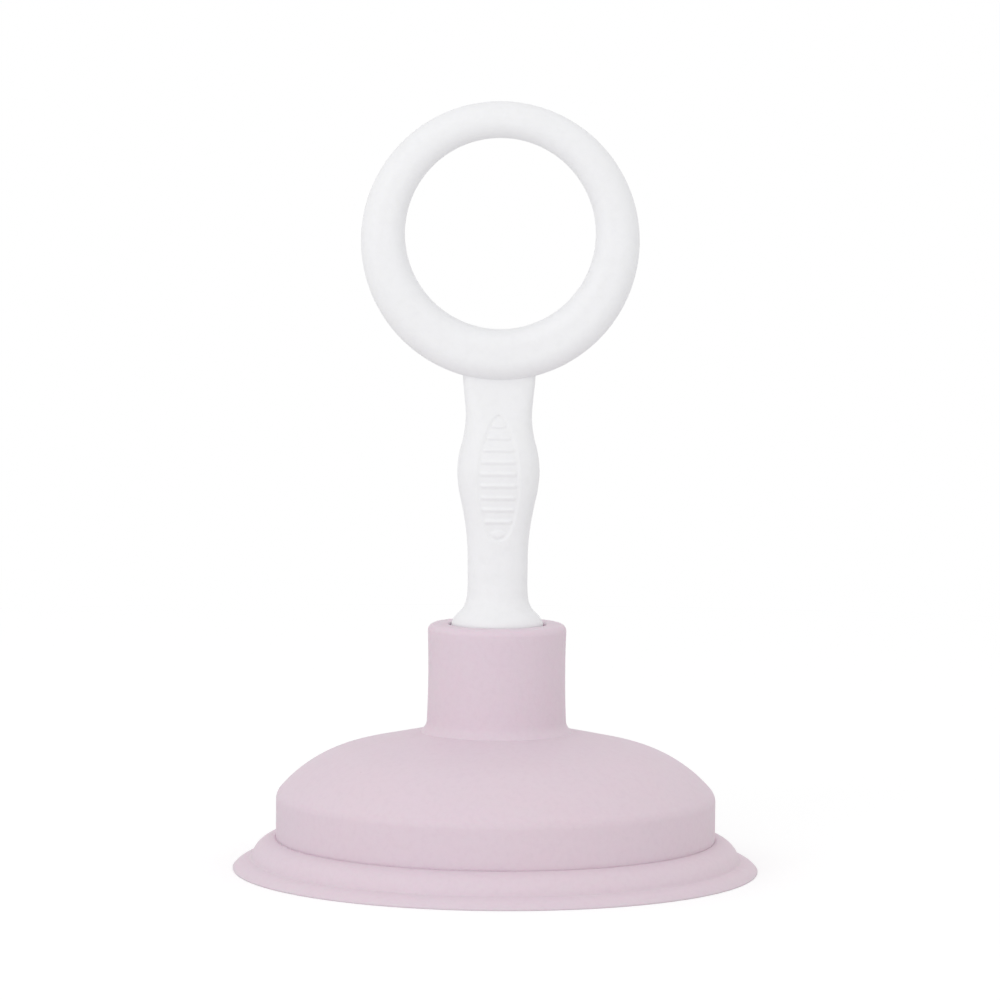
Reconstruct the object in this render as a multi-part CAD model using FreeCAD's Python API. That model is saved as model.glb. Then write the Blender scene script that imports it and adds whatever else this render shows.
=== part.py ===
import FreeCAD, Part
import math
import os

# Sink plunger, in millimetres, +Z up. The origin is on the cup's axis, in the
# plane of the flange's underside. The hanging ring lies in the XZ plane.

V = FreeCAD.Vector

# --- cup: flange, lip, band and dome (a body of revolution) ---
FLANGE_R = 70.3          # outside radius of the base flange
FLANGE_EDGE_Z = 0.35     # height of the flange's thin outer edge
FLANGE_EDGE_RUN = 0.1    # how far that edge leans in towards the underside
FLANGE_MID = (68.5, 1.9)  # a point on the flange's rounded upper side
LIP_FOOT_Z = 2.8         # where the lip's round meets the flange
LIP_CENTRE = (58.8, 1.6)  # centre of the lip's round
LIP_ROUND_R = 6.8
BAND_R = 58.8            # outside radius of the upright band
BAND_TOP_Z = 18.7
SHOULDER_R = 4.2         # round from the band to the dome
SHOULDER_SLOPE = 49.0    # degrees of slope where shoulder meets crown
CROWN_R = 37.0           # round of the dome above the shoulder
CONE_SLOPE = 12.0        # degrees of slope of the dome near the collar
WALL = 3.2               # thickness of the dome and band
MOUTH_ROUND = 1.2        # inside edge of the mouth
WEB_R = 13.0             # radius of the flat part of the roof

# --- cup: collar ---
COLLAR_FILLET_R = 3.4
COLLAR_FOOT_R = 18.6
COLLAR_WAIST_R = 18.3
COLLAR_WAIST_Z = 52.0
COLLAR_TOP_R = 18.5
COLLAR_TOP_Z = 66.0
COLLAR_RIM_ROUND = 1.4
COUNTERBORE_R = 13.0     # mouth of the collar, around the handle's foot
MOUTH_EDGE_ROUND = 0.7   # round of the mouth's upper edge

# --- rigid insert moulded into the collar ---
SOCKET_BOTTOM_Z = 42.0
SOCKET_TOP_Z = 62.0
SOCKET_R = 13.8
SOCKET_RIB_R = 15.2
SOCKET_RING_H = 1.6
SOCKET_RIBS = 8
SOCKET_RIB_W = 2.4
SOCKET_RIB_SINK = 1.0    # how deep a rib's inner end lies in the body
SOCKET_RIB_GAP = 0.4     # how far a rib stays inside the end rings
SOCKET_BORE_R = 8.3

# --- screw thread ---
PITCH = 4.0
SPIGOT_R = 7.8           # core of the handle's thread
THREAD_R = 9.6           # crest of the handle's thread
THREAD_ROOT_HALF = 1.1   # half the ridge's height at its root
THREAD_CREST_HALF = 0.5  # half the ridge's height at its crest
THREAD_SINK = 0.4        # how deep a ridge's foot lies in the wall it stands on
THREAD_GAP = 0.35        # running clearance all round the ridge
THREAD_BOTTOM_Z = 46.0
THREAD_TURNS = 3
GROOVE_TURNS_BELOW = 2   # turns of socket groove below the handle's ridge
GROOVE_TURNS_ABOVE = 2
SPIGOT_BOTTOM_Z = 43.5
SPIGOT_CHAMFER = 1.0
SPIGOT_CORE_R = 5.0      # hollow core, open below
SPIGOT_CORE_TOP_Z = 60.0

# --- washer ---
WASHER_T = 1.5
WASHER_IN_R = 8.3
WASHER_OUT_R = 12.4

# --- handle ---
FOOT_R = 12.2
RING_OUT_R = 36.95
RING_OUT_Z = 168.05
RING_HOLE_R = 25.4
RING_HOLE_Z = 169.9      # the hole sits above the ring's centre
RING_DEPTH = 14.8
RING_OUT_ROUND = 5.0
RING_HOLE_ROUND = 4.3
SECTION_POINTS = 24
# grip sections from the foot up: height, half width, half depth, squareness
GRIP = [
    (63.5, FOOT_R, FOOT_R, 2.0),
    (64.8, FOOT_R, FOOT_R, 2.0),
    (66.2, FOOT_R, FOOT_R, 2.0),
    (68.0, 11.2, 11.0, 2.0),
    (70.0, 9.3, 8.8, 2.1),
    (72.5, 8.3, 7.0, 2.2),
    (75.5, 8.0, 6.3, 2.4),
    (80.5, 8.0, 6.1, 2.5),
    (85.5, 8.05, 6.1, 2.5),
    (91.0, 8.5, 6.4, 2.5),
    (97.0, 9.5, 6.9, 2.6),
    (102.0, 10.55, 7.3, 2.6),
    (107.0, 10.95, 7.5, 2.6),
    (111.5, 10.5, 7.2, 2.6),
    (116.0, 9.4, 6.4, 2.8),
    (121.0, 8.8, 5.4, 3.2),
    (126.0, 9.1, 4.5, 3.6),
    (131.0, 9.6, 3.9, 3.9),
    (137.0, 9.8, 3.7, 4.0),
]
# half outline of the recessed thumb pad: distance from the middle, height
PAD = [(0.0, 122.1), (1.8, 121.1), (3.0, 119.1), (4.1, 116.4), (5.1, 113.2),
       (5.7, 109.5), (5.95, 105.5), (5.85, 101.0), (5.4, 97.0), (4.6, 93.4),
       (3.5, 90.6), (2.0, 88.9), (0.0, 88.4)]
PAD_DEPTH = 0.3
RIBS = 9                 # raised ribs across the pad, as high as the pad is deep
RIB_TOP_Z = 119.2
RIB_PITCH = 3.19
RIB_W = 1.0
RIB_END_GAP = 1.1        # from a rib's end to the pad's outline
# a low round bump at each end of the pad: height, half width, half height
PAD_BUMPS = [(119.7, 1.6, 1.1), (90.3, 1.6, 1.0)]


def rad(degrees):
    return math.radians(degrees)


def at(r, z):
    return V(r, 0, z)


def line(p, q):
    return Part.LineSegment(at(*p), at(*q)).toShape()


def arc(p, mid, q):
    return Part.Arc(at(*p), at(*mid), at(*q)).toShape()


def on_circle(centre, radius, angle):
    """Point of a circle in the (r, z) plane, angle in degrees from +r."""
    return (centre[0] + radius * math.cos(rad(angle)),
            centre[1] + radius * math.sin(rad(angle)))


def round_arc(centre, radius, start, end):
    points = [on_circle(centre, radius, a) for a in (start, (start + end) / 2, end)]
    return arc(*points)


def chain(points):
    return [line(p, q) for p, q in zip(points, points[1:])]


def revolve(edges):
    face = Part.Face(Part.Wire(Part.__sortEdges__(edges)))
    return face.revolve(V(0, 0, 0), V(0, 0, 1), 360)


def dome_curve(offset):
    """Centres and ends of the dome's two rounds, moved inwards by offset."""
    shoulder = (BAND_R - SHOULDER_R, BAND_TOP_Z)
    reach = CROWN_R - SHOULDER_R
    crown = (shoulder[0] - reach * math.sin(rad(SHOULDER_SLOPE)),
             shoulder[1] - reach * math.cos(rad(SHOULDER_SLOPE)))
    cone_start = on_circle(crown, CROWN_R - offset, 90 - CONE_SLOPE)
    return shoulder, crown, cone_start


def cone_z(r, offset):
    """Height of the dome's conical part at radius r."""
    start = dome_curve(offset)[2]
    return start[1] + (start[0] - r) * math.tan(rad(CONE_SLOPE))


FILLET_CENTRE_R = COLLAR_FOOT_R + COLLAR_FILLET_R
CROWN_TOP_Z = cone_z(FILLET_CENTRE_R, 0) + COLLAR_FILLET_R / math.cos(rad(CONE_SLOPE))


def cup_bell():
    """Flange, lip, band and dome, closed on top by a web under the collar."""
    shoulder, crown, cone_start = dome_curve(0)
    lip_angle = math.degrees(math.asin((LIP_FOOT_Z - LIP_CENTRE[1]) / LIP_ROUND_R))
    lip_foot = on_circle(LIP_CENTRE, LIP_ROUND_R, lip_angle)
    lip_top_angle = math.degrees(math.acos((BAND_R - LIP_CENTRE[0]) / LIP_ROUND_R))
    lip_top = on_circle(LIP_CENTRE, LIP_ROUND_R, lip_top_angle)
    fillet_centre = (FILLET_CENTRE_R, CROWN_TOP_Z)
    cone_end = on_circle(fillet_centre, COLLAR_FILLET_R, 270 - CONE_SLOPE)
    turn = 90 - SHOULDER_SLOPE
    outside = [
        line((FLANGE_R - FLANGE_EDGE_RUN, 0), (FLANGE_R, FLANGE_EDGE_Z)),
        arc((FLANGE_R, FLANGE_EDGE_Z), FLANGE_MID, lip_foot),
        round_arc(LIP_CENTRE, LIP_ROUND_R, lip_angle, lip_top_angle),
        line(lip_top, (BAND_R, BAND_TOP_Z)),
        round_arc(shoulder, SHOULDER_R, 0, turn),
        round_arc(crown, CROWN_R, turn, 90 - CONE_SLOPE),
        line(cone_start, cone_end),
        round_arc(fillet_centre, COLLAR_FILLET_R, 270 - CONE_SLOPE, 180),
    ]
    band_in = BAND_R - WALL
    cone_in = dome_curve(WALL)[2]
    roof_z = cone_z(WEB_R, WALL)
    mouth = (band_in + MOUTH_ROUND, MOUTH_ROUND)
    inside = [
        line((0, CROWN_TOP_Z), (0, roof_z)),
        line((0, roof_z), (WEB_R, roof_z)),
        line((WEB_R, roof_z), cone_in),
        round_arc(crown, CROWN_R - WALL, 90 - CONE_SLOPE, turn),
        round_arc(shoulder, SHOULDER_R - WALL, turn, 0),
        line((band_in, BAND_TOP_Z), (band_in, MOUTH_ROUND)),
        round_arc(mouth, MOUTH_ROUND, 180, 270),
        line((mouth[0], 0), (FLANGE_R - FLANGE_EDGE_RUN, 0)),
    ]
    top = line((COLLAR_FOOT_R, CROWN_TOP_Z), (0, CROWN_TOP_Z))
    return revolve(outside + [top] + inside)


def socket_envelope():
    """Outer shape of the insert: two end rings and upright ribs between them."""
    height = SOCKET_TOP_Z - SOCKET_BOTTOM_Z
    body = Part.makeCylinder(SOCKET_R, height, at(0, SOCKET_BOTTOM_Z))
    for z in (SOCKET_BOTTOM_Z, SOCKET_TOP_Z - SOCKET_RING_H):
        body = body.fuse(Part.makeCylinder(SOCKET_RIB_R, SOCKET_RING_H, at(0, z)))
    rib_length = SOCKET_RIB_R - SOCKET_R + SOCKET_RIB_SINK - SOCKET_RIB_GAP
    ribs = []
    for n in range(SOCKET_RIBS):
        corner = V(SOCKET_R - SOCKET_RIB_SINK, -SOCKET_RIB_W / 2, SOCKET_BOTTOM_Z)
        rib = Part.makeBox(rib_length, SOCKET_RIB_W, height, corner)
        rib.rotate(V(0, 0, 0), V(0, 0, 1), n * 360 / SOCKET_RIBS)
        ribs.append(rib)
    return body.fuse(ribs).removeSplitter()


def cup_collar():
    """Thick soft tube that holds the insert, with a floor under it."""
    rim_centre = (COLLAR_TOP_R - COLLAR_RIM_ROUND, COLLAR_TOP_Z - COLLAR_RIM_ROUND)
    side_top = (COLLAR_TOP_R, rim_centre[1])
    edge_centre = (COUNTERBORE_R + MOUTH_EDGE_ROUND, COLLAR_TOP_Z - MOUTH_EDGE_ROUND)
    edges = [
        line((0, CROWN_TOP_Z), (COLLAR_FOOT_R, CROWN_TOP_Z)),
        arc((COLLAR_FOOT_R, CROWN_TOP_Z), (COLLAR_WAIST_R, COLLAR_WAIST_Z), side_top),
        round_arc(rim_centre, COLLAR_RIM_ROUND, 0, 90),
        line((rim_centre[0], COLLAR_TOP_Z), (edge_centre[0], COLLAR_TOP_Z)),
        round_arc(edge_centre, MOUTH_EDGE_ROUND, 90, 180),
        line((COUNTERBORE_R, edge_centre[1]), (COUNTERBORE_R, SOCKET_TOP_Z)),
        line((COUNTERBORE_R, SOCKET_TOP_Z), (0, SOCKET_TOP_Z)),
        line((0, SOCKET_TOP_Z), (0, CROWN_TOP_Z)),
    ]
    return revolve(edges).cut(socket_envelope())


def helix_ridge(z0, turns, r_in, r_out, half_in, half_out):
    """Right-hand ridge of trapezoid section, its middle starting at z0."""
    path = Part.Wire(Part.makeLongHelix(PITCH, PITCH * turns, SPIGOT_R, 0).Edges)
    corners = [(r_in, -half_in), (r_out, -half_out), (r_out, half_out), (r_in, half_in)]
    section = Part.Wire(chain(corners + corners[:1]))
    ridge = path.makePipeShell([section], True, True)
    ridge.translate(V(0, 0, z0))
    return ridge


def ridge_half(r):
    """Half the thread ridge's height at radius r."""
    share = (r - SPIGOT_R) / (THREAD_R - SPIGOT_R)
    return THREAD_ROOT_HALF + share * (THREAD_CREST_HALF - THREAD_ROOT_HALF)


def threaded_socket():
    """Rigid insert with the inside thread, right through."""
    bore = Part.makeCylinder(SOCKET_BORE_R, SOCKET_TOP_Z, at(0, 0))
    blank = socket_envelope().cut(bore)
    r_in = SOCKET_BORE_R - THREAD_SINK
    r_out = THREAD_R + THREAD_GAP
    z0 = THREAD_BOTTOM_Z - GROOVE_TURNS_BELOW * PITCH
    turns = GROOVE_TURNS_BELOW + THREAD_TURNS + GROOVE_TURNS_ABOVE
    groove = helix_ridge(z0, turns, r_in, r_out, ridge_half(r_in) + THREAD_GAP,
                         ridge_half(r_out) + THREAD_GAP)
    return blank.cut(groove)


def seal_washer():
    """Flat soft ring that lies on the insert, under the handle's foot."""
    disc = Part.makeCylinder(WASHER_OUT_R, WASHER_T, at(0, SOCKET_TOP_Z))
    return disc.cut(Part.makeCylinder(WASHER_IN_R, WASHER_T, at(0, SOCKET_TOP_Z)))


def grip_section(z, half_width, half_depth, power):
    """Closed smooth curve, squarer than an ellipse where power is above 2."""
    points = []
    for n in range(SECTION_POINTS):
        a = 2 * math.pi * n / SECTION_POINTS
        c, s = math.cos(a), math.sin(a)
        size = (abs(c) ** power + abs(s) ** power) ** (-1 / power)
        points.append(V(half_width * size * c, half_depth * size * s, z))
    curve = Part.BSplineCurve()
    steps = [n / SECTION_POINTS for n in range(SECTION_POINTS + 1)]
    curve.interpolate(Points=points, PeriodicFlag=True, Parameters=steps)
    return Part.Wire(curve.toShape())


def pad_half_width(z):
    """Half width of the thumb pad's outline at height z."""
    for (x0, z0), (x1, z1) in zip(PAD, PAD[1:]):
        if z1 <= z <= z0:
            return x0 + (x1 - x0) * (z0 - z) / (z0 - z1)
    return 0.0


def grip_loft(inset):
    """The whole grip from foot to ring, its surface moved inwards by inset."""
    sections = [grip_section(z, w - inset, d - inset, power) for z, w, d, power in GRIP]
    return Part.makeLoft(sections, True, False)


def pad_bump(z, half_width, half_height, reach):
    """Oval bar through the grip's front at height z."""
    face = Part.Face(Part.Wire(Part.Ellipse(V(0, 0, 0), half_width, half_height).toShape()))
    face.rotate(V(0, 0, 0), V(1, 0, 0), 90)
    face.translate(V(0, -reach, z))
    return face.extrude(V(0, reach, 0))


def pad_cutter():
    """What the recessed pad takes out of the grip's front, leaving ribs and bumps."""
    reach = 2 * FOOT_R       # further out than any part of the grip
    sides = []
    for way in (1, -1):
        side = Part.BSplineCurve()
        side.interpolate([V(way * x, -reach, z) for x, z in PAD])
        sides.append(side.toShape())
    prism = Part.Face(Part.Wire(sides)).extrude(V(0, reach, 0))
    cutter = prism.cut(grip_loft(PAD_DEPTH))
    for n in range(RIBS):
        z = RIB_TOP_Z - n * RIB_PITCH
        half = pad_half_width(z) - RIB_END_GAP
        corner = V(-half, -reach, z - RIB_W / 2)
        cutter = cutter.cut(Part.makeBox(2 * half, reach, RIB_W, corner))
    for z, half_width, half_height in PAD_BUMPS:
        cutter = cutter.cut(pad_bump(z, half_width, half_height, reach))
    return cutter


def hanging_ring():
    half = RING_DEPTH / 2
    centre = V(0, -half, RING_OUT_Z)
    disc = Part.makeCylinder(RING_OUT_R, RING_DEPTH, centre, V(0, 1, 0))
    disc = disc.makeFillet(RING_OUT_ROUND, rim_edges(disc, half))
    hole_at = V(0, -half, RING_HOLE_Z)
    hole = Part.makeCylinder(RING_HOLE_R, RING_DEPTH, hole_at, V(0, 1, 0))
    loop = disc.cut(hole)
    edges = [e for e in rim_edges(loop, half)
             if abs(e.BoundBox.XLength - 2 * RING_HOLE_R) < 0.1]
    return loop.makeFillet(RING_HOLE_ROUND, edges)


def rim_edges(solid, half_depth):
    """Edges that lie wholly in the solid's front or back plane."""
    flat = [e for e in solid.Edges if e.BoundBox.YLength < 0.01]
    return [e for e in flat if abs(abs(e.BoundBox.YMin) - half_depth) < 0.01]


def handle():
    """Ring, ribbed grip, round foot and threaded spigot, moulded in one."""
    grip = grip_loft(0)
    front = pad_cutter()
    back = front.mirror(V(0, 0, 0), V(0, 1, 0))
    grip = grip.cut(front).cut(back)
    spigot_top_z = GRIP[1][0]
    tip_r = SPIGOT_R - SPIGOT_CHAMFER
    tip_z = SPIGOT_BOTTOM_Z + SPIGOT_CHAMFER
    core_top = (SPIGOT_CORE_R, SPIGOT_CORE_TOP_Z)
    spigot = revolve(chain([
        (SPIGOT_CORE_R, SPIGOT_BOTTOM_Z), (tip_r, SPIGOT_BOTTOM_Z), (SPIGOT_R, tip_z),
        (SPIGOT_R, spigot_top_z), (0, spigot_top_z), (0, SPIGOT_CORE_TOP_Z), core_top,
        (SPIGOT_CORE_R, SPIGOT_BOTTOM_Z)]))
    r_in = SPIGOT_R - THREAD_SINK
    thread = helix_ridge(THREAD_BOTTOM_Z, THREAD_TURNS, r_in, THREAD_R,
                         ridge_half(r_in), THREAD_CREST_HALF)
    return hanging_ring().fuse(grip).fuse(spigot.fuse(thread))


def main():
    os.makedirs("parts", exist_ok=True)
    nodes = {
        "cup_bell": cup_bell(),
        "cup_collar": cup_collar(),
        "threaded_socket": threaded_socket(),
        "seal_washer": seal_washer(),
        "handle": handle(),
    }
    for name, shape in nodes.items():
        solids = shape.Solids
        print(name, len(solids), "solid, valid", shape.isValid(), "volume", round(shape.Volume, 1))
        out = solids[0] if len(solids) == 1 else shape
        out.exportStep("parts/" + name + ".step")


main()
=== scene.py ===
import math

import bmesh
import bpy
import numpy as np
from mathutils import Matrix, Vector


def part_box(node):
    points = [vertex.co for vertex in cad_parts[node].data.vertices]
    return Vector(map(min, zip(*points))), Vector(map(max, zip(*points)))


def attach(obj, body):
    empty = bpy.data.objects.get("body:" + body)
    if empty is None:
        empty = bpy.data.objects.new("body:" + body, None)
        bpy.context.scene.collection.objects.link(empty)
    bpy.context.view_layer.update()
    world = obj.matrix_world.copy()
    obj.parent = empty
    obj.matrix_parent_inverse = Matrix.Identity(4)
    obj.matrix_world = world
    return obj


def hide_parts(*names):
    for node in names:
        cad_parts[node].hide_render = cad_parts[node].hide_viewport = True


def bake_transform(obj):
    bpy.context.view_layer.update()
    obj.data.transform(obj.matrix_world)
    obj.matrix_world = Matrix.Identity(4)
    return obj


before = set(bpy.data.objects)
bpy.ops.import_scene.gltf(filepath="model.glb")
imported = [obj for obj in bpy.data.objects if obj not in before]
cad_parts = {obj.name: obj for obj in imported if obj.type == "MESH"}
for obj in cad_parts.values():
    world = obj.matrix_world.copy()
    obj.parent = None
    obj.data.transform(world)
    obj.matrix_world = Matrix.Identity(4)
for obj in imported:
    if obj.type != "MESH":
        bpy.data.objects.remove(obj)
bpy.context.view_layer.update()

# A sink plunger: a soft cup in one skin over the frame's bell and collar, a
# white handle with a hanging ring and a ribbed grip, and what joins the two.
# Shapes are worked out in millimetres and stored in metres.

MM = 0.001
SAME_POINT = 1e-4        # points nearer than this, in millimetres, are one point


def node_box(name):
    """Lowest and highest corner of a CAD node, in millimetres."""
    low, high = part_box(name)
    return np.array(low) / MM, np.array(high) / MM


# ---------------------------------------------------------------- sizes, mm

BELL_HIGH = node_box("cup_bell")[1]
COLLAR_HIGH = node_box("cup_collar")[1]
SOCKET_LOW, SOCKET_HIGH = node_box("threaded_socket")
WASHER_LOW, WASHER_HIGH = node_box("seal_washer")
HANDLE_LOW, HANDLE_HIGH = node_box("handle")

# cup
FLANGE_R = BELL_HIGH[0]
FLANGE_EDGE_Z = 0.35
FLANGE_EDGE_RUN = 0.1
FLANGE_MID = (68.5, 1.9)
LIP_CENTRE = (58.8, 1.6)
LIP_ROUND_R = 6.8
LIP_FOOT_Z = 2.8
LIP_TOP_ANGLE = 88.0     # where the lip's round ends, in degrees from level
LIP_FOOT_REACH = 0.45    # how far the lip's foot is rounded off
CREASE_W = 0.4           # the thin groove where the lip meets the band
CREASE_DEPTH = 0.12
BAND_R = 58.8
BAND_TOP_Z = 18.7
SHOULDER_R = 4.2
SHOULDER_SLOPE = 49.0
CROWN_R = 37.0
CONE_SLOPE = 12.0
WALL = 3.2
MOUTH_ROUND = 1.2
WEB_R = 13.0
WEB_EDGE_REACH = 1.5     # how far the edge of the web is rounded off
CROWN_TOP_Z = BELL_HIGH[2]
COLLAR_FILLET_R = 3.4
COLLAR_FOOT_R = COLLAR_HIGH[0]
COLLAR_WAIST_R = 18.3
COLLAR_WAIST_Z = 52.0
COLLAR_TOP_R = 18.5
COLLAR_TOP_Z = COLLAR_HIGH[2]
COLLAR_RIM_ROUND = 1.9
COUNTERBORE_R = 13.0
MOUTH_EDGE_ROUND = 0.7
NECK_TURN = 234.0        # angle on the collar's fillet where its faint crease lies
NECK_DIP = 0.1           # depth of that crease
NECK_DIP_OUT = 0.25      # from the fillet's foot out to the crease's bottom
NECK_DIP_RUN = 1.2       # from there out to the plain cone
SOCKET_R = 13.8
SOCKET_RING_H = 1.6
SOCKET_SLACK = 0.05      # room round the socket's two rings
CUP_SEGMENTS = 320

# handle
RING_OUT_R = HANDLE_HIGH[0]
RING_OUT_Z = HANDLE_HIGH[2] - RING_OUT_R
RING_HOLE_R = 25.4
RING_HOLE_Z = 169.9
RING_HALF_DEPTH = 7.4
RING_OUT_ROUND = 5.0
RING_HOLE_ROUND = 4.3
RING_SEGMENTS = 360
SHOULDER_Z = WASHER_HIGH[2]
FOOT_R = 12.2
FOOT_EDGE_ROUND = 0.5
# grip sections from the foot up: height, half width, half depth, squareness
GRIP = [
    (SHOULDER_Z, FOOT_R, FOOT_R, 2.0),
    (64.8, FOOT_R, FOOT_R, 2.0),
    (66.2, FOOT_R, FOOT_R, 2.0),
    (68.0, 11.2, 11.0, 2.0),
    (70.0, 9.3, 8.8, 2.1),
    (72.5, 8.3, 7.0, 2.2),
    (75.5, 8.0, 6.3, 2.4),
    (80.5, 8.0, 6.1, 2.5),
    (85.5, 8.05, 6.1, 2.5),
    (91.0, 8.5, 6.4, 2.5),
    (97.0, 9.5, 6.9, 2.6),
    (102.0, 10.55, 7.3, 2.6),
    (107.0, 10.95, 7.5, 2.6),
    (111.5, 10.5, 7.2, 2.6),
    (116.0, 9.4, 6.4, 2.8),
    (121.0, 8.8, 5.4, 3.2),
    (126.0, 9.1, 4.5, 3.6),
    (131.0, 9.6, 3.9, 3.9),
    (137.0, 9.8, 3.7, 4.0),
]
# half outline of the recessed thumb pad: height, distance from the middle
PAD = [(122.1, 0.0), (121.1, 1.8), (119.1, 3.0), (116.4, 4.1), (113.2, 5.1),
       (109.5, 5.7), (105.5, 5.95), (101.0, 5.85), (97.0, 5.4), (93.4, 4.6),
       (90.6, 3.5), (88.9, 2.0), (88.4, 0.0)]
PAD_DEPTH = 0.3
PAD_EDGE = 1.0           # width of the pad's sloping edge
RIBS = 9
RIB_TOP_Z = 119.2
RIB_PITCH = 3.19
RIB_HALF = 0.9           # half of a rib's width at its foot
RIB_END_GAP = 1.1
RIB_END_FADE = (0.4, 0.2)        # slope at a rib's end, before and past its reach
# a low round bump at each end of the pad: height, half width, half height
PAD_BUMPS = [(119.7, 1.6, 1.1), (90.3, 1.6, 1.0)]
BUMP_EDGE = (0.6, 1.3)           # where a bump's slope starts and ends, in its sizes
PAD_SIDE_FADE = (1.5, 3.5)       # depths between which the pad fades out at the sides
GRIP_QUARTER = 44                # points round each quarter of a grip section
GRIP_CROWDING = 0.12             # how much the points crowd at a section's corners
SHARP_ANGLE = 38                 # a larger turn than this is shaded as an edge
WELD_GAP = 0.002                 # points closer than this are joined after the union

# screw
PITCH = 4.0
SPIGOT_R = 7.8
THREAD_R = 9.6
THREAD_ROOT_HALF = 1.1
THREAD_CREST_HALF = 0.5
THREAD_BOTTOM_Z = 46.0
THREAD_TOP_Z = 58.0
SPIGOT_CORE_R = 5.0
SPIGOT_CORE_TOP_Z = 60.0
SPIGOT_CHAMFER = 1.0
SPIGOT_SEGMENTS = 96
SPIGOT_ROW_H = 0.125     # height between the rows of points that draw the thread
SPIGOT_LAP = 0.6         # how far the spigot reaches up into the foot
THREAD_FADE = 0.3        # half of the length in which the ridge starts and ends

# washer
WASHER_HOLE_R = 8.3
WASHER_EDGE_ROUND = 0.35
WASHER_SEGMENTS = 128


# ------------------------------------------------------------- mesh helpers

def make_object(name, points, faces, material, body=None, slot=None):
    """A smooth-shaded mesh object from points in millimetres."""
    mesh = bpy.data.meshes.new(name)
    mesh.from_pydata([tuple(p) for p in np.asarray(points) * MM], [], faces)
    mesh.validate()
    mesh.update()
    obj = bpy.data.objects.new(name, mesh)
    bpy.context.scene.collection.objects.link(obj)
    mesh.materials.append(material)
    mesh.shade_smooth()
    fix_normals(mesh)
    if body:
        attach(obj, body)
    return obj


def fix_normals(mesh):
    """Turns every face outwards."""
    bm = bmesh.new()
    bm.from_mesh(mesh)
    bmesh.ops.recalc_face_normals(bm, faces=bm.faces)
    bm.to_mesh(mesh)
    bm.free()


def arc(centre, radius, start, end, spacing=4.0):
    """Points on an arc in the (r, z) plane, angles in degrees from +r."""
    count = max(2, int(abs(end - start) / spacing) + 2)
    angles = np.radians(np.linspace(start, end, count))
    return [(centre[0] + radius * math.cos(a), centre[1] + radius * math.sin(a))
            for a in angles]


def three_point_arc(p, q, s, count=12):
    """Points on the circle through p, q and s, from p to s."""
    (ax, ay), (bx, by), (cx, cy) = p, q, s
    d = 2 * (ax * (by - cy) + bx * (cy - ay) + cx * (ay - by))
    a2, b2, c2 = ax * ax + ay * ay, bx * bx + by * by, cx * cx + cy * cy
    ux = (a2 * (by - cy) + b2 * (cy - ay) + c2 * (ay - by)) / d
    uy = (a2 * (cx - bx) + b2 * (ax - cx) + c2 * (bx - ax)) / d
    radius = math.hypot(ax - ux, ay - uy)
    start = math.degrees(math.atan2(ay - uy, ax - ux))
    end = math.degrees(math.atan2(cy - uy, cx - ux))
    if end - start > 180:
        end -= 360
    if start - end > 180:
        end += 360
    return arc((ux, uy), radius, start, end, abs(end - start) / count)


def straight(p, q, spacing=2.0):
    """Points on the straight line from p to q."""
    count = max(2, int(math.dist(p, q) / spacing) + 2)
    return [tuple(np.array(p) + (np.array(q) - p) * t)
            for t in np.linspace(0, 1, count)]


def join_runs(runs):
    """One line from several runs of points that meet end to end."""
    points = [tuple(runs[0][0])]
    for run in runs:
        for p in run:
            if math.dist(p, points[-1]) > SAME_POINT:
                points.append(tuple(p))
    return points


def soften(points, corner, reach, count=5):
    """Replaces the line within reach of its point nearest corner by a curve."""
    points = [np.array(p, float) for p in points]
    n = min(range(len(points)), key=lambda i: math.dist(points[i], corner))
    top = points[n]

    def cut(way):
        """Where the line is reach away from the corner, and the last point before it."""
        left, i = reach, n
        while 0 <= i + way < len(points):
            gap = math.dist(points[i], points[i + way])
            if gap >= left:
                return i, points[i] + (points[i + way] - points[i]) * (left / gap)
            left -= gap
            i += way
        return i, points[i]

    before, start = cut(-1)
    after, end = cut(1)
    curve = [(1 - t) ** 2 * start + 2 * t * (1 - t) * top + t * t * end
             for t in np.linspace(0, 1, count)]
    return [tuple(p) for p in points[:before] + curve + points[after + 1:]]


def lathe(name, profile, segments, material, body=None, slot=None):
    """A closed body of revolution. A profile point on the axis makes a pole."""
    points, rings = [], []
    angles = np.linspace(0, 2 * math.pi, segments, endpoint=False)
    for r, z in profile:
        if r < SAME_POINT:
            rings.append([len(points)])
            points.append((0, 0, z))
        else:
            rings.append(list(range(len(points), len(points) + segments)))
            points.extend((r * math.cos(a), r * math.sin(a), z) for a in angles)
    faces = []
    closed = len(rings[0]) > 1
    following = rings[1:] + (rings[:1] if closed else [])
    for low, high in zip(rings, following):
        for i in range(segments):
            j = (i + 1) % segments
            if len(low) == 1 and len(high) > 1:
                faces.append((low[0], high[j], high[i]))
            elif len(high) == 1 and len(low) > 1:
                faces.append((low[i], low[j], high[0]))
            elif len(low) > 1:
                faces.append((low[i], low[j], high[j], high[i]))
    return make_object(name, points, faces, material, body, slot)


# ---------------------------------------------------------------- materials

# how strongly the dark specks show, from 0 to 1
RUBBER_SPECKS = 0.3
PLASTIC_SPECKS = 0.35


def new_material(name):
    """A node material: itself, its nodes, its links and its main shader."""
    mat = bpy.data.materials.new(name)
    mat.use_nodes = True
    nodes, links = mat.node_tree.nodes, mat.node_tree.links
    return mat, nodes, links, nodes["Principled BSDF"]


def noise(nodes, links, coords, scale, detail=3.0, rough=0.5, distortion=0.0):
    """A noise texture's value, from 0 to 1."""
    tex = nodes.new("ShaderNodeTexNoise")
    tex.inputs["Scale"].default_value = scale
    tex.inputs["Detail"].default_value = detail
    tex.inputs["Roughness"].default_value = rough
    tex.inputs["Distortion"].default_value = distortion
    links.new(coords, tex.inputs["Vector"])
    return tex.outputs["Fac"]


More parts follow.
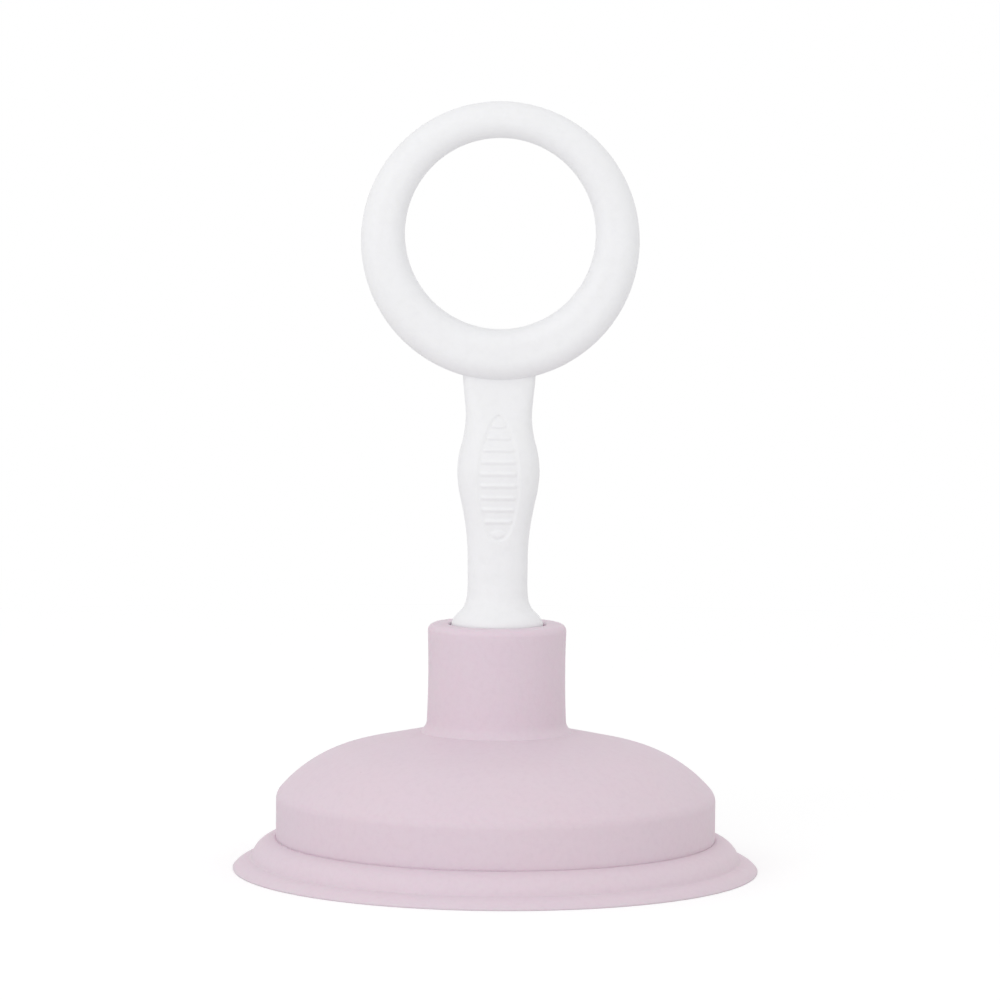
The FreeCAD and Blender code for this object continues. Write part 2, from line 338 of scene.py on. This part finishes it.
def ramp(nodes, links, value, stops):
    """The value turned into a colour. Stops are (position, colour or grey)."""
    node = nodes.new("ShaderNodeValToRGB")
    band = node.color_ramp
    while len(band.elements) < len(stops):
        band.elements.new(0.5)
    for element, (place, colour) in zip(band.elements, stops):
        element.position = place
        if isinstance(colour, (int, float)):
            colour = (colour, colour, colour)
        element.color = (*colour, 1.0)
    links.new(value, node.inputs["Fac"])
    return node.outputs["Color"]


def mix(nodes, links, factor, a, b):
    """Colour a, with colour b over it by the factor. Each is a socket or a value."""
    node = nodes.new("ShaderNodeMix")
    node.data_type = "RGBA"
    for value, entry in ((factor, node.inputs[0]), (a, node.inputs[6]), (b, node.inputs[7])):
        if isinstance(value, bpy.types.NodeSocket):
            links.new(value, entry)
        elif isinstance(value, tuple):
            entry.default_value = (*value, 1.0)
        else:
            entry.default_value = value
    return node.outputs[2]


def maths(nodes, links, operation, a, b):
    """One sum on a and b, each a socket or a number."""
    node = nodes.new("ShaderNodeMath")
    node.operation = operation
    for value, entry in ((a, node.inputs[0]), (b, node.inputs[1])):
        if isinstance(value, bpy.types.NodeSocket):
            links.new(value, entry)
        else:
            entry.default_value = value
    return node.outputs[0]


def bump(nodes, links, height, distance, strength, before=None):
    """A normal tilted by the height, on top of the normal before it."""
    node = nodes.new("ShaderNodeBump")
    node.inputs["Distance"].default_value = distance
    node.inputs["Strength"].default_value = strength
    links.new(height, node.inputs["Height"])
    if before is not None:
        links.new(before, node.inputs["Normal"])
    return node.outputs["Normal"]


def object_coords(nodes):
    """The point's own place in metres, so that textures stay put on moving pieces."""
    return nodes.new("ShaderNodeTexCoord").outputs["Object"]


def speck_mask(nodes, links, coords, scale, size, share):
    """Small round dark specks, at a share of the cells of a Voronoi grid."""
    tex = nodes.new("ShaderNodeTexVoronoi")
    tex.inputs["Scale"].default_value = scale
    links.new(coords, tex.inputs["Vector"])
    near = maths(nodes, links, "LESS_THAN", tex.outputs["Distance"], size)
    split = nodes.new("ShaderNodeSeparateColor")
    links.new(tex.outputs["Color"], split.inputs["Color"])
    some = maths(nodes, links, "LESS_THAN", split.outputs["Red"], share)
    return maths(nodes, links, "MULTIPLY", near, some)


def soft_rubber(name, colour, dark, warm):
    """Matte moulded soft rubber with faint mottling and a few dark specks."""
    mat, nodes, links, shader = new_material(name)
    coords = object_coords(nodes)
    broad = noise(nodes, links, coords, scale=22, detail=4, rough=0.55)
    fine = noise(nodes, links, coords, scale=620, detail=4, rough=0.6)
    base = mix(nodes, links, ramp(nodes, links, broad, [(0.3, 0.0), (0.7, 0.7)]), colour, warm)
    base = mix(nodes, links, ramp(nodes, links, fine, [(0.45, 0.0), (0.8, 0.3)]), base, dark)
    specks = speck_mask(nodes, links, coords, scale=170, size=0.055, share=0.05)
    speck_colour = tuple(c * 0.6 for c in dark)
    speck_share = maths(nodes, links, "MULTIPLY", specks, RUBBER_SPECKS)
    base = mix(nodes, links, speck_share, base, speck_colour)
    links.new(base, shader.inputs["Base Color"])
    grain = noise(nodes, links, coords, scale=1500, detail=3, rough=0.6)
    patches = noise(nodes, links, coords, scale=90, detail=3, rough=0.6)
    gloss = ramp(nodes, links, patches, [(0.3, 0.52), (0.7, 0.66)])
    links.new(gloss, shader.inputs["Roughness"])
    shader.inputs["Specular IOR Level"].default_value = 0.4
    shader.inputs["Subsurface Weight"].default_value = 0.25
    shader.inputs["Subsurface Radius"].default_value = (0.004, 0.0022, 0.003)
    shader.inputs["Subsurface Scale"].default_value = 0.6
    waves = noise(nodes, links, coords, scale=35, detail=2, rough=0.5)
    wavy = bump(nodes, links, waves, distance=0.0003, strength=0.35)
    grained = bump(nodes, links, grain, distance=0.00006, strength=0.5, before=wavy)
    links.new(grained, shader.inputs["Normal"])
    return mat


def moulded_plastic(name, colour, shade, rough_low, rough_high):
    """Satin moulded plastic: fine grain, faint flow marks and a few dark specks."""
    mat, nodes, links, shader = new_material(name)
    coords = object_coords(nodes)
    flow = noise(nodes, links, coords, scale=30, detail=3, rough=0.5, distortion=0.6)
    base = mix(nodes, links, ramp(nodes, links, flow, [(0.35, 0.0), (0.75, 1.0)]), colour, shade)
    grain = noise(nodes, links, coords, scale=420, detail=3, rough=0.6)
    grain_share = ramp(nodes, links, grain, [(0.45, 0.0), (0.75, 0.35)])
    grain_colour = tuple(c * 0.94 for c in shade)
    base = mix(nodes, links, grain_share, base, grain_colour)
    specks = speck_mask(nodes, links, coords, scale=210, size=0.05, share=0.03)
    speck_colour = tuple(c * 0.45 for c in shade)
    speck_share = maths(nodes, links, "MULTIPLY", specks, PLASTIC_SPECKS)
    base = mix(nodes, links, speck_share, base, speck_colour)
    links.new(base, shader.inputs["Base Color"])
    patches = noise(nodes, links, coords, scale=120, detail=3, rough=0.6)
    gloss = ramp(nodes, links, patches, [(0.3, rough_low), (0.7, rough_high)])
    links.new(gloss, shader.inputs["Roughness"])
    shader.inputs["Subsurface Weight"].default_value = 0.15
    shader.inputs["Subsurface Radius"].default_value = (0.003, 0.003, 0.0028)
    shader.inputs["Subsurface Scale"].default_value = 0.5
    shader.inputs["Coat Weight"].default_value = 0.05
    shader.inputs["Coat Roughness"].default_value = 0.3
    waves = noise(nodes, links, coords, scale=28, detail=2, rough=0.5)
    wavy = bump(nodes, links, waves, distance=0.0002, strength=0.3)
    pits = noise(nodes, links, coords, scale=2200, detail=2, rough=0.5)
    pitted = bump(nodes, links, pits, distance=0.00003, strength=0.4, before=wavy)
    links.new(pitted, shader.inputs["Normal"])
    return mat


CUP_RUBBER = soft_rubber(
    "soft_cup", colour=(0.724, 0.608, 0.681), dark=(0.645, 0.52, 0.592), warm=(0.737, 0.609, 0.667))
HANDLE_PLASTIC = moulded_plastic(
    "handle_plastic", colour=(0.865, 0.866, 0.882), shade=(0.85, 0.85, 0.862),
    rough_low=0.44, rough_high=0.55)
SOCKET_PLASTIC = moulded_plastic(
    "socket_plastic", colour=(0.68, 0.52, 0.60), shade=(0.64, 0.48, 0.56),
    rough_low=0.4, rough_high=0.5)
WASHER_RUBBER = soft_rubber(
    "washer_rubber", colour=(0.32, 0.32, 0.325), dark=(0.24, 0.24, 0.245), warm=(0.34, 0.335, 0.33))


# ---------------------------------------------------------------------- cup

def dome(offset):
    """Centres of the shoulder and crown, and where the cone starts, offset inwards."""
    shoulder = (BAND_R - SHOULDER_R, BAND_TOP_Z)
    reach = CROWN_R - SHOULDER_R
    slope = math.radians(SHOULDER_SLOPE)
    crown = (shoulder[0] - reach * math.sin(slope), shoulder[1] - reach * math.cos(slope))
    cone = math.radians(90 - CONE_SLOPE)
    radius = CROWN_R - offset
    start = (crown[0] + radius * math.cos(cone), crown[1] + radius * math.sin(cone))
    return shoulder, crown, start


def cone_z(r, offset):
    """Height of the dome's cone at radius r, on the skin that lies offset inwards."""
    start = dome(offset)[2]
    return start[1] + (start[0] - r) * math.tan(math.radians(CONE_SLOPE))


def cup_outside():
    """The cup's outside from the flange's underside up to the collar's mouth."""
    shoulder, crown, cone_start = dome(0)
    lip_angle = math.degrees(math.asin((LIP_FOOT_Z - LIP_CENTRE[1]) / LIP_ROUND_R))
    lip = arc(LIP_CENTRE, LIP_ROUND_R, lip_angle, LIP_TOP_ANGLE)
    crease_z = lip[-1][1]
    crease = (BAND_R - CREASE_DEPTH, crease_z - CREASE_W / 2)
    turn = 90 - SHOULDER_SLOPE
    fillet = (COLLAR_FOOT_R + COLLAR_FILLET_R, CROWN_TOP_Z)
    neck = arc(fillet, COLLAR_FILLET_R, NECK_TURN, 180, 8)
    rim = (COLLAR_TOP_R - COLLAR_RIM_ROUND, COLLAR_TOP_Z - COLLAR_RIM_ROUND)
    mouth = (COUNTERBORE_R + MOUTH_EDGE_ROUND, COLLAR_TOP_Z - MOUTH_EDGE_ROUND)
    edge = (FLANGE_R, FLANGE_EDGE_Z)
    dip_r = neck[0][0] + NECK_DIP_OUT
    dip = (dip_r, cone_z(dip_r, 0) - NECK_DIP)
    rejoin = (dip_r + NECK_DIP_RUN, cone_z(dip_r + NECK_DIP_RUN, 0))
    points = join_runs([
        straight((FLANGE_R - FLANGE_EDGE_RUN, 0), edge, 0.2),
        three_point_arc(edge, FLANGE_MID, lip[0]),
        lip,
        straight(lip[-1], crease, 0.2),
        straight(crease, (BAND_R, crease_z + CREASE_W), 0.2),
        straight((BAND_R, crease_z + CREASE_W), (BAND_R, BAND_TOP_Z), 1.0),
        arc(shoulder, SHOULDER_R, 0, turn),
        arc(crown, CROWN_R, turn, 90 - CONE_SLOPE, 2),
        straight(cone_start, rejoin),
        straight(rejoin, dip, 0.3),
        straight(dip, neck[0], 0.2),
        neck,
        three_point_arc(neck[-1], (COLLAR_WAIST_R, COLLAR_WAIST_Z), (COLLAR_TOP_R, rim[1]), 14),
        arc(rim, COLLAR_RIM_ROUND, 0, 90, 12),
        straight((rim[0], COLLAR_TOP_Z), (mouth[0], COLLAR_TOP_Z), 1.2),
        arc(mouth, MOUTH_EDGE_ROUND, 90, 180, 12),
    ])
    return soften(soften(points, lip[0], LIP_FOOT_REACH), dip, NECK_DIP_OUT, 3)


def cup_inside():
    """From the collar's mouth down the socket to its floor, on the axis."""
    ring_top = SOCKET_HIGH[2]
    ring_r = SOCKET_HIGH[0] + SOCKET_SLACK
    floor_z = SOCKET_LOW[2]
    return join_runs([
        straight((COUNTERBORE_R, COLLAR_TOP_Z - MOUTH_EDGE_ROUND), (COUNTERBORE_R, ring_top), 1.0),
        straight((COUNTERBORE_R, ring_top), (ring_r, ring_top), 0.8),
        straight((ring_r, ring_top), (ring_r, ring_top - SOCKET_RING_H), 0.8),
        straight((ring_r, ring_top - SOCKET_RING_H), (SOCKET_R, ring_top - SOCKET_RING_H), 0.8),
        straight((SOCKET_R, ring_top - SOCKET_RING_H), (SOCKET_R, floor_z + SOCKET_RING_H)),
        straight((SOCKET_R, floor_z + SOCKET_RING_H), (ring_r, floor_z + SOCKET_RING_H), 0.8),
        straight((ring_r, floor_z + SOCKET_RING_H), (ring_r, floor_z), 0.8),
        straight((ring_r, floor_z), (0, floor_z)),
    ])


def cup_underside():
    """From the middle of the bell's roof down to the flange's underside."""
    shoulder, crown, cone_start = dome(WALL)
    turn = 90 - SHOULDER_SLOPE
    band = BAND_R - WALL
    roof = cone_z(WEB_R, WALL)
    mouth = (band + MOUTH_ROUND, MOUTH_ROUND)
    points = join_runs([
        straight((0, roof), (WEB_R, roof)),
        straight((WEB_R, roof), cone_start),
        arc(crown, CROWN_R - WALL, 90 - CONE_SLOPE, turn, 2),
        arc(shoulder, SHOULDER_R - WALL, turn, 0),
        straight((band, BAND_TOP_Z), (band, mouth[1]), 1.0),
        arc(mouth, MOUTH_ROUND, 180, 270, 15),
        straight((mouth[0], 0), (FLANGE_R - FLANGE_EDGE_RUN, 0), 1.5),
    ])
    return soften(points, (WEB_R, roof), WEB_EDGE_REACH)


def soft_cup():
    """The whole cup as one skin over the bell and the collar."""
    profile = join_runs([cup_underside(), cup_outside(), cup_inside()])
    for corner in ((FLANGE_R - FLANGE_EDGE_RUN, 0), (FLANGE_R, FLANGE_EDGE_Z)):
        profile = soften(profile, corner, FLANGE_EDGE_RUN / 2, 3)
    cup = lathe("soft_cup", profile, CUP_SEGMENTS, CUP_RUBBER, slot="soft_cup")
    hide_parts("cup_bell", "cup_collar")
    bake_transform(cup)


# ------------------------------------------------------------------- handle

def smooth_curve(knots, at):
    """Values at heights on a smooth curve through knots of (height, value)."""
    knots = sorted(knots)
    x = np.array([k[0] for k in knots], float)
    y = np.array([k[1] for k in knots], float)
    slope = np.gradient(y, x)
    at = np.clip(at, x[0], x[-1])
    i = np.clip(np.searchsorted(x, at, side="right") - 1, 0, len(x) - 2)
    span = x[i + 1] - x[i]
    t = (at - x[i]) / span
    a = (1 + 2 * t) * (1 - t) ** 2 * y[i] + t * (1 - t) ** 2 * span * slope[i]
    b = t * t * (3 - 2 * t) * y[i + 1] + t * t * (t - 1) * span * slope[i + 1]
    return a + b


def smooth_step(x, low, high):
    """0 below low, 1 above high, smooth between."""
    t = np.clip((x - low) / (high - low), 0, 1)
    return t * t * (3 - 2 * t)


def loop_faces(rows, count, joined):
    """Quads over rows of count points, each row a closed loop."""
    faces = []
    for n in range(rows if joined else rows - 1):
        m = (n + 1) % rows
        for i in range(count):
            j = (i + 1) % count
            faces.append((n * count + i, m * count + i, m * count + j, n * count + j))
    return faces


def ring_section(inner, outer):
    """Closed outline of the ring's tube: distance from the hole's centre, depth."""
    d = RING_HALF_DEPTH
    a, b = RING_HOLE_ROUND, RING_OUT_ROUND
    runs = []
    for way in (1, -1):
        hole_side = arc((inner + a, way * (d - a)), a, 180, 180 - way * 90, 9)
        out_side = arc((outer - b, way * (d - b)), b, way * 90, 0, 9)
        flat = np.linspace(hole_side[-1], out_side[0], 7)[1:-1]
        half = hole_side + [tuple(p) for p in flat] + out_side
        runs.append(half if way > 0 else half[::-1])
    sides = [np.linspace(runs[0][-1], runs[1][0], 5)[1:-1],
             np.linspace(runs[1][-1], runs[0][0], 5)[1:-1]]
    return np.array(runs[0] + [tuple(p) for p in sides[0]]
                    + runs[1] + [tuple(p) for p in sides[1]])


def hanging_ring():
    """The ring's skin: its hole sits above the centre, so its tube is thin on top."""
    drop = RING_HOLE_Z - RING_OUT_Z
    points = []
    for a in np.linspace(0, 2 * math.pi, RING_SEGMENTS, endpoint=False):
        b = drop * math.sin(a)
        outer = -b + math.sqrt(b * b - drop * drop + RING_OUT_R ** 2)
        section = ring_section(RING_HOLE_R, outer)
        for t, y in section:
            points.append((t * math.cos(a), y, RING_HOLE_Z + t * math.sin(a)))
    return points, loop_faces(RING_SEGMENTS, len(section), True)


def pad_half_width(z):
    """The pad's half width; its square runs evenly to nothing at the round ends."""
    return np.sqrt(np.maximum(smooth_curve([(h, w * w) for h, w in PAD], z), 0))


def pad_depth(x, z):
    """How far the recessed pad, less its raised ribs, lowers the grip's surface."""
    x = np.abs(x)
    edge = pad_half_width(z)
    depth = smooth_step(edge - x, 0, PAD_EDGE) * ((z > PAD[-1][0]) & (z < PAD[0][0]))
    for n in range(RIBS):
        middle = RIB_TOP_Z - n * RIB_PITCH
        reach = pad_half_width(np.array([middle]))[0] - RIB_END_GAP
        across = 1 - smooth_step(np.abs(z - middle), 0, RIB_HALF)
        along = 1 - smooth_step(x, reach - RIB_END_FADE[0], reach + RIB_END_FADE[1])
        depth = depth * (1 - across * along)
    for middle, half_width, half_height in PAD_BUMPS:
        away = np.hypot(x / half_width, (z - middle) / half_height)
        depth = depth * smooth_step(away, *BUMP_EDGE)
    return PAD_DEPTH * depth


def grip_heights():
    """Heights of the grip's rows, close together where the ribs are."""
    coarse, fine = 0.5, 0.13
    low, high = PAD[-1][0] - 1, PAD[0][0] + 1
    edge = SHOULDER_Z + FOOT_EDGE_ROUND * (1 - np.cos(np.radians(np.arange(15, 90, 15))))
    return np.concatenate([edge, np.arange(SHOULDER_Z + FOOT_EDGE_ROUND, low, coarse),
                           np.arange(low, high, fine), np.arange(high, GRIP[-1][0], coarse)])


def grip():
    """The grip's skin from the foot's underside to inside the hanging ring."""
    z = grip_heights()
    w, d, n = (smooth_curve([(s[0], s[k]) for s in GRIP], z) for k in (1, 2, 3))
    # points lie a little closer together at the section's four rounded corners
    share = np.linspace(0, 1, GRIP_QUARTER, endpoint=False)
    turn = np.pi / 2 * (share + GRIP_CROWDING * np.sin(2 * np.pi * share) / np.pi)
    turns = np.concatenate([turn + k * np.pi / 2 for k in range(4)])
    c, s = np.cos(turns), np.sin(turns)
    size = (np.abs(c) ** n[:, None] + np.abs(s) ** n[:, None]) ** (-1 / n[:, None])
    lift = np.clip((z - SHOULDER_Z) / FOOT_EDGE_ROUND, 0, 1)
    inset = FOOT_EDGE_ROUND * (1 - np.sqrt(1 - (1 - lift) ** 2))
    x = (w - inset)[:, None] * size * c
    y = (d - inset)[:, None] * size * s
    rows = np.repeat(z[:, None], len(turns), 1)
    y = y - np.sign(y) * pad_depth(x, rows) * smooth_step(np.abs(y), *PAD_SIDE_FADE)
    points = np.stack([x, y, rows], -1).reshape(-1, 3).tolist()
    count = len(turns)
    faces = loop_faces(len(z), count, False)
    for start, height in ((0, SHOULDER_Z), ((len(z) - 1) * count, z[-1])):
        middle = len(points)
        points.append([0, 0, height])
        faces += [(start + i, start + (i + 1) % count, middle) for i in range(count)]
    return points, faces


def handle_body():
    """Ring, grip and foot joined into one skin, with a crisp line between them."""
    ring_piece = make_object("handle_body", *hanging_ring(), HANDLE_PLASTIC)
    grip_piece = make_object("grip_tool", *grip(), HANDLE_PLASTIC)
    union = ring_piece.modifiers.new("union", "BOOLEAN")
    union.operation = "UNION"
    union.solver = "EXACT"
    union.object = grip_piece
    apply_modifiers(ring_piece)
    bpy.data.objects.remove(grip_piece)
    triangulate_large(ring_piece.data)
    ring_piece.data.shade_smooth()
    ring_piece.data.set_sharp_from_angle(angle=math.radians(SHARP_ANGLE))
    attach(ring_piece, "handle")
    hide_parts("handle")


def apply_modifiers(obj):
    """Swaps the object's mesh for the one that its modifiers make."""
    graph = bpy.context.evaluated_depsgraph_get()
    mesh = bpy.data.meshes.new_from_object(obj.evaluated_get(graph))
    obj.modifiers.clear()
    old = obj.data
    obj.data = mesh
    bpy.data.meshes.remove(old)


def triangulate_large(mesh):
    """Splits the faces of more than four sides that a union leaves."""
    bm = bmesh.new()
    bm.from_mesh(mesh)
    bmesh.ops.remove_doubles(bm, verts=bm.verts, dist=WELD_GAP * MM)
    bmesh.ops.triangulate(bm, faces=[f for f in bm.faces if len(f.verts) > 4])
    bmesh.ops.recalc_face_normals(bm, faces=bm.faces)
    bm.to_mesh(mesh)
    bm.free()


def handle_spigot():
    """The threaded spigot below the foot, hollow from below."""
    segments = SPIGOT_SEGMENTS
    heights = np.arange(HANDLE_LOW[2] + SPIGOT_CHAMFER, SHOULDER_Z + SPIGOT_LAP, SPIGOT_ROW_H)
    angles = np.linspace(0, 2 * math.pi, segments, endpoint=False)
    rows = [np.full(segments, SPIGOT_CORE_R), np.full(segments, SPIGOT_R - SPIGOT_CHAMFER)]
    levels = [HANDLE_LOW[2], HANDLE_LOW[2]]
    turns = angles / (2 * math.pi)
    for z in heights:
        # distance along the axis from the middle of the nearest turn of ridge
        turn = np.round((z - THREAD_BOTTOM_Z) / PITCH - turns)
        middle = THREAD_BOTTOM_Z + (turn + turns) * PITCH
        off = np.abs(z - middle)
        rise = np.clip((THREAD_ROOT_HALF - off) / (THREAD_ROOT_HALF - THREAD_CREST_HALF), 0, 1)
        fade_in = smooth_step(middle, THREAD_BOTTOM_Z - THREAD_FADE, THREAD_BOTTOM_Z + THREAD_FADE)
        fade_out = smooth_step(middle, THREAD_TOP_Z - THREAD_FADE, THREAD_TOP_Z + THREAD_FADE)
        rows.append(SPIGOT_R + (THREAD_R - SPIGOT_R) * rise * (fade_in * (1 - fade_out)))
        levels.append(z)
    points = []
    for radii, z in zip(rows, levels):
        points.extend((r * math.cos(a), r * math.sin(a), z) for r, a in zip(radii, angles))
    faces = loop_faces(len(rows), segments, False)
    # the cap inside the foot, and the hollow core with its roof
    top = len(points)
    points.append((0, 0, levels[-1]))
    last = (len(rows) - 1) * segments
    roof = len(points)
    points.extend((SPIGOT_CORE_R * math.cos(a), SPIGOT_CORE_R * math.sin(a), SPIGOT_CORE_TOP_Z)
                  for a in angles)
    points.append((0, 0, SPIGOT_CORE_TOP_Z))
    for i in range(segments):
        j = (i + 1) % segments
        faces.append((last + i, last + j, top))
        faces.append((j, i, roof + i, roof + j))
        faces.append((roof + j, roof + i, roof + segments))
    make_object("handle_spigot", points, faces, HANDLE_PLASTIC, "handle", "handle_plastic")


def washer():
    """A flat ring with a small round on each of its four edges."""
    rounding = WASHER_EDGE_ROUND
    low, high = WASHER_LOW[2] + rounding, WASHER_HIGH[2] - rounding
    inner, outer = WASHER_HOLE_R + rounding, WASHER_HIGH[0] - rounding
    corners = (((outer, low), -90), ((outer, high), 0), ((inner, high), 90), ((inner, low), 180))
    profile = []
    for centre, start in corners:
        profile += arc(centre, rounding, start, start + 90, 20)
    piece = lathe("seal_washer_ring", profile, WASHER_SEGMENTS, WASHER_RUBBER,
                  "washer", "washer_rubber")
    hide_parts("seal_washer")


def socket():
    """The CAD socket keeps its shape and gets its own plastic."""
    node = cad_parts["threaded_socket"]
    for slot in node.material_slots:
        slot.material = SOCKET_PLASTIC


# -------------------------------------------------------------------- stage

FLOOR_GREY = 0.8
FLOOR_LIFT = 0.27                # extra brightness that only the camera sees
FLOOR_R = 1.2                    # half of the floor's side, metres
FLOOR_FADE = (0.2, 0.75)         # where the floor's fade starts and ends, as shares of FLOOR_R
ROOM_LIGHT = 0.887               # the room's light on the object; the camera sees plain white
LIGHT_TARGET = (0, 0, 0.1)
# soft round lights: name, place, diameter, power
LIGHTS = [
    ("key", (-0.6, -1.05, 0.95), 0.9, 1.85),
    ("low", (-0.9, -1.3, 0.35), 0.6, 1.49),
    ("front", (-0.1, -1.6, 0.15), 0.25, 1.17),
]


def floor():
    """A pale floor that fades out into the white room."""
    mat, nodes, links, shader = new_material("floor")
    shader.inputs["Base Color"].default_value = (FLOOR_GREY, FLOOR_GREY, FLOOR_GREY, 1)
    shader.inputs["Roughness"].default_value = 1.0
    shader.inputs["Specular IOR Level"].default_value = 0.0
    shader.inputs["Emission Color"].default_value = (1, 1, 1, 1)
    seen = nodes.new("ShaderNodeLightPath").outputs["Is Camera Ray"]
    links.new(maths(nodes, links, "MULTIPLY", seen, FLOOR_LIFT), shader.inputs["Emission Strength"])
    length = nodes.new("ShaderNodeVectorMath")
    length.operation = "LENGTH"
    links.new(object_coords(nodes), length.inputs[0])
    far = maths(nodes, links, "DIVIDE", length.outputs["Value"], FLOOR_R)
    fade = ramp(nodes, links, far, [(FLOOR_FADE[0], 1.0), (FLOOR_FADE[1], 0.0)])
    links.new(fade, shader.inputs["Alpha"])
    mesh = bpy.data.meshes.new("floor")
    s = FLOOR_R
    mesh.from_pydata([(-s, -s, 0), (s, -s, 0), (s, s, 0), (-s, s, 0)], [], [(0, 1, 2, 3)])
    mesh.materials.append(mat)
    obj = bpy.data.objects.new("floor", mesh)
    bpy.context.scene.collection.objects.link(obj)


def area_light(name, place, size, power):
    """A round light that faces the object."""
    light = bpy.data.lights.new(name, "AREA")
    light.shape = "DISK"
    light.size = size
    light.energy = power
    obj = bpy.data.objects.new(name, light)
    obj.location = place
    obj.rotation_euler = (Vector(LIGHT_TARGET) - Vector(place)).to_track_quat("-Z", "Y").to_euler()
    bpy.context.scene.collection.objects.link(obj)


def studio():
    """An evenly lit room, white to the camera, with soft lights left and in front."""
    world = bpy.data.worlds.new("studio")
    world.use_nodes = True
    nodes, links = world.node_tree.nodes, world.node_tree.links
    room = nodes["Background"]
    room.inputs["Color"].default_value = (1, 1, 1, 1)
    room.inputs["Strength"].default_value = ROOM_LIGHT
    seen = nodes.new("ShaderNodeBackground")
    seen.inputs["Color"].default_value = (1, 1, 1, 1)
    seen.inputs["Strength"].default_value = 1.0
    pick = nodes.new("ShaderNodeMixShader")
    links.new(nodes.new("ShaderNodeLightPath").outputs["Is Camera Ray"], pick.inputs[0])
    links.new(room.outputs[0], pick.inputs[1])
    links.new(seen.outputs[0], pick.inputs[2])
    links.new(pick.outputs[0], nodes["World Output"].inputs["Surface"])
    bpy.context.scene.world = world
    bpy.context.scene.view_settings.view_transform = "Standard"
    for light in LIGHTS:
        area_light(*light)


# places in metres, the roll in degrees, the lens and sensor in millimetres
CAMERA_DISTANCE = 1.24
CAMERA_HEIGHT = 0.194
CAMERA_X = 0.00048
CAMERA_AIM_Z = 0.09906
CAMERA_ROLL = 0.48
CAMERA_LENS = 167.9
CAMERA_SENSOR = 36


def camera():
    """A long lens, level with the upper part of the ring, that looks slightly down."""
    data = bpy.data.cameras.new("camera")
    data.lens = CAMERA_LENS
    data.sensor_width = CAMERA_SENSOR
    data.clip_start = 0.05
    data.clip_end = 50
    obj = bpy.data.objects.new("camera", data)
    place = Vector((CAMERA_X, -CAMERA_DISTANCE, CAMERA_HEIGHT))
    aim = Vector((CAMERA_X, 0, CAMERA_AIM_Z))
    look = (aim - place).to_track_quat("-Z", "Y").to_matrix()
    obj.rotation_euler = (look @ Matrix.Rotation(math.radians(CAMERA_ROLL), 3, "Z")).to_euler()
    obj.location = place
    bpy.context.scene.collection.objects.link(obj)
    bpy.context.scene.camera = obj


soft_cup()
handle_body()
handle_spigot()
washer()
socket()
floor()
studio()
camera()
